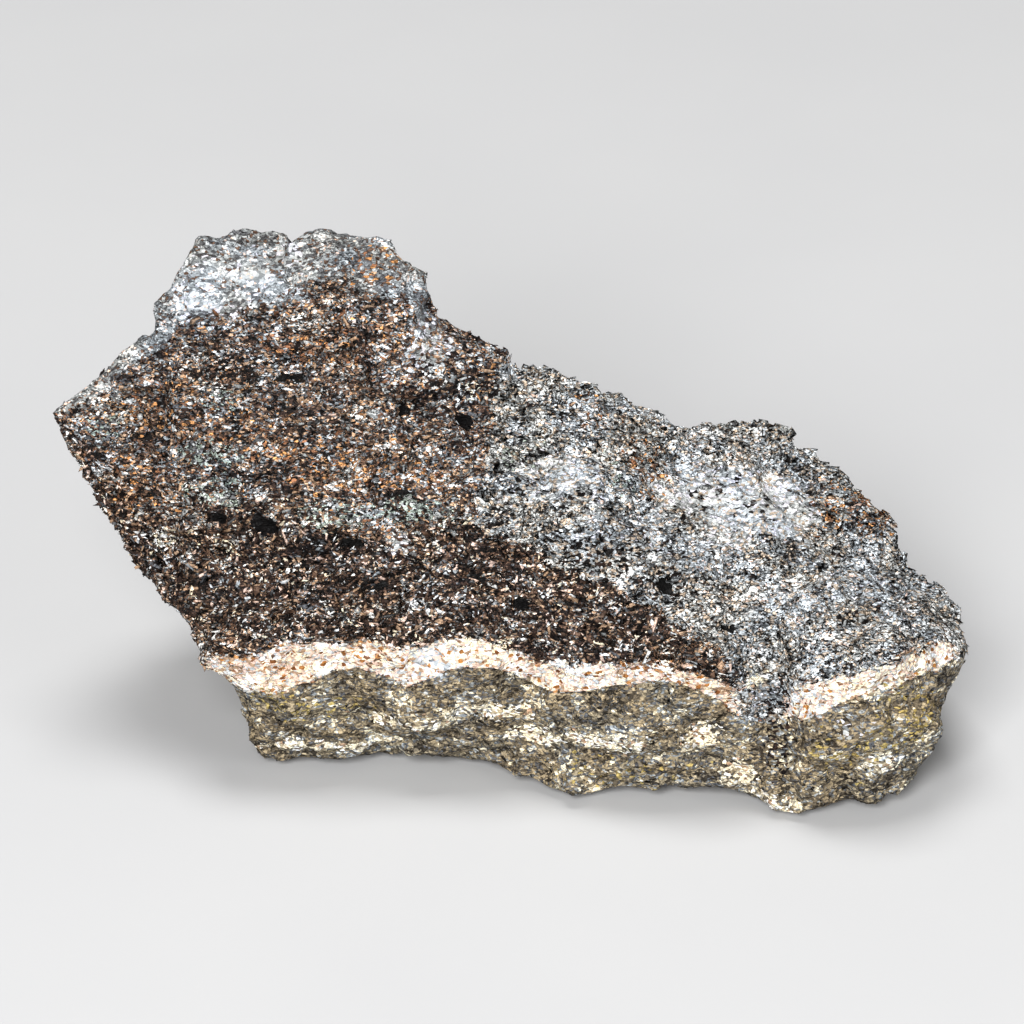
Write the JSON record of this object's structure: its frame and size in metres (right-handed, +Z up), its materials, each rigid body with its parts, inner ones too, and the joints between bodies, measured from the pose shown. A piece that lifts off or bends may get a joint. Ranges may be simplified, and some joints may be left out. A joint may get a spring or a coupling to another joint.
{
  "type": "mineral specimen",
  "caption": "Broken hand specimen of banded, lead-bearing rock: a tall dark hump, a lower pale shoulder and a low front wall, lying on its flat underside.",
  "frame": {"origin": "on the resting plane, below the middle of the outer box", "axes": "+X along the length towards the low end, -Y towards the display face, +Z up"},
  "size_m": [0.1, 0.05, 0.053],
  "materials": {
    "native_lead_rock": "rough broken rock in dark brown, grey and white grains, with a pale pink seam and rust-orange specks"
  },
  "bodies": {
    "root": {"native_lead_rock": "native_lead_rock"}
  },
  "joints": []
}
